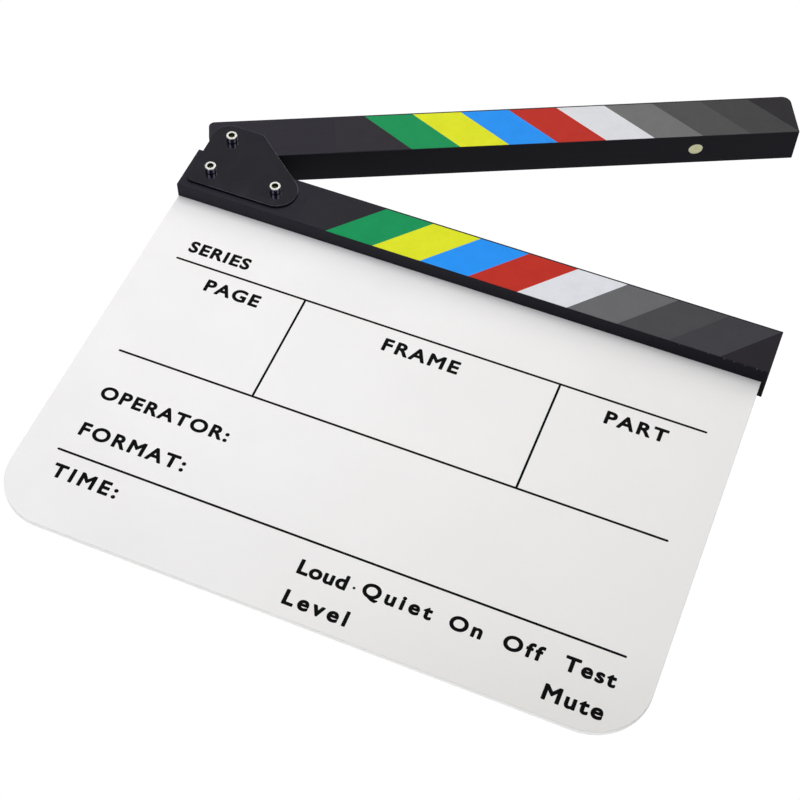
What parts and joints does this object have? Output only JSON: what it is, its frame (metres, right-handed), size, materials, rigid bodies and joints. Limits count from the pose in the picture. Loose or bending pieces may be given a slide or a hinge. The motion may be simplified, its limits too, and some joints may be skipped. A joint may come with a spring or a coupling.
{
  "type": "clapperboard",
  "caption": "Clapperboard: white acrylic slate held in a grooved black stick, with a striped upper stick that swings on a bolted plate hinge and is held shut by magnets.",
  "frame": {"origin": "under the middle of the part's box as it lies on its back with the sticks open, on the plane of the rear nuts", "axes": "+Z out of the writing face, +X along the lower stick away from the hinge, +Y from the slate's foot towards the sticks"},
  "size_m": [0.3026, 0.367, 0.0289],
  "materials": {
    "white_acrylic": "satin white acrylic sheet",
    "black_lacquered_wood": "satin black lacquer",
    "black_plate": "gloss black",
    "stainless": "bright stainless",
    "zinc": "zinc plated",
    "brass": "turned brass",
    "nylon": "natural nylon",
    "nickel": "nickel plated",
    "printed_film": "printed vinyl film, colour and grey stripes",
    "black_screw": "black oxide"
  },
  "bodies": {
    "slate": {"writing_board": "white_acrylic", "lower_clapstick": "black_lacquered_wood", "lower_magnet": "nickel", "lower_stripe_film": "printed_film", "front_hinge_plate": "black_plate", "rear_hinge_plate": "black_plate", "pivot_bolt": "stainless", "hinge_bolt_left": "stainless", "hinge_bolt_right": "stainless", "pivot_nut": "zinc", "hinge_nut_left": "zinc", "hinge_nut_right": "zinc", "pivot_washer": "zinc", "hinge_washer_left": "zinc", "hinge_washer_right": "zinc", "pivot_sleeve": "brass", "thrust_washer_front": "nylon", "thrust_washer_rear": "nylon", "board_screw_1": "black_screw", "board_screw_2": "black_screw", "board_screw_3": "black_screw", "board_screw_4": "black_screw"},
    "clapper": {"upper_clapstick": "black_lacquered_wood", "upper_magnet": "nickel", "upper_stripe_film": "printed_film"}
  },
  "joints": [
    {"name": "clap_hinge", "type": "hinge", "parent": "slate", "child": "clapper", "pos_m": [-0.13531, 0.04657, 0.01445], "axis": [0, 0, 1], "range_deg": [-25.95, 42]}
  ]
}
